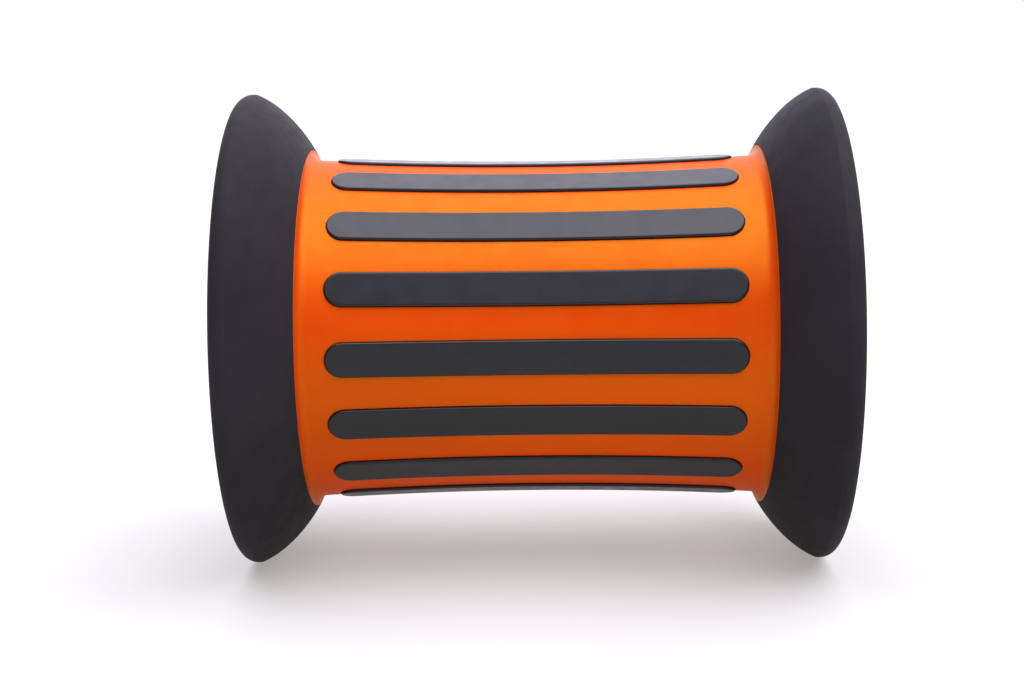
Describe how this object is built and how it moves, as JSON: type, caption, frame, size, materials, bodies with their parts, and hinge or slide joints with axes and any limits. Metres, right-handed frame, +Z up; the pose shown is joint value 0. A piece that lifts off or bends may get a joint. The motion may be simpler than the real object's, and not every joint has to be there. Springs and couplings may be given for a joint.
{
  "type": "balance roller",
  "caption": "Spool-shaped balance roller: waisted hollow drum with raised lengthwise grip strips between two flared, rubber-covered end bells that roll on the floor.",
  "frame": {"origin": "on the floor, under the middle of the roller, as it rests on the lowest facet of its two rims", "axes": "+X along the roller's axle, +Z up, -Y towards the viewer"},
  "size_m": [0.5076, 0.4088, 0.4087],
  "materials": {
    "orange_plastic": "satin moulded plastic, lightly polished",
    "strip_rubber": "smooth matt rubber",
    "cover_rubber": "smooth matt rubber",
    "bell_plastic": "fine-grained moulded plastic",
    "tube_plastic": "satin extruded plastic",
    "screw_steel": "bright zinc-plated steel"
  },
  "bodies": {
    "root": {"drum_shell": "orange_plastic", "grip_strip_01": "strip_rubber", "grip_strip_02": "strip_rubber", "grip_strip_03": "strip_rubber", "grip_strip_04": "strip_rubber", "grip_strip_05": "strip_rubber", "grip_strip_06": "strip_rubber", "grip_strip_07": "strip_rubber", "grip_strip_08": "strip_rubber", "grip_strip_09": "strip_rubber", "grip_strip_10": "strip_rubber", "grip_strip_11": "strip_rubber", "grip_strip_12": "strip_rubber", "grip_strip_13": "strip_rubber", "grip_strip_14": "strip_rubber", "grip_strip_15": "strip_rubber", "grip_strip_16": "strip_rubber", "core_tube": "tube_plastic", "end_bell_left": "bell_plastic", "rim_cover_left": "cover_rubber", "end_bell_right": "bell_plastic", "rim_cover_right": "cover_rubber", "web_screw_left_01": "screw_steel", "web_screw_left_02": "screw_steel", "web_screw_left_03": "screw_steel", "web_screw_left_04": "screw_steel", "web_screw_left_05": "screw_steel", "web_screw_left_06": "screw_steel", "web_screw_left_07": "screw_steel", "web_screw_left_08": "screw_steel", "web_screw_right_01": "screw_steel", "web_screw_right_02": "screw_steel", "web_screw_right_03": "screw_steel", "web_screw_right_04": "screw_steel", "web_screw_right_05": "screw_steel", "web_screw_right_06": "screw_steel", "web_screw_right_07": "screw_steel", "web_screw_right_08": "screw_steel"}
  },
  "joints": []
}
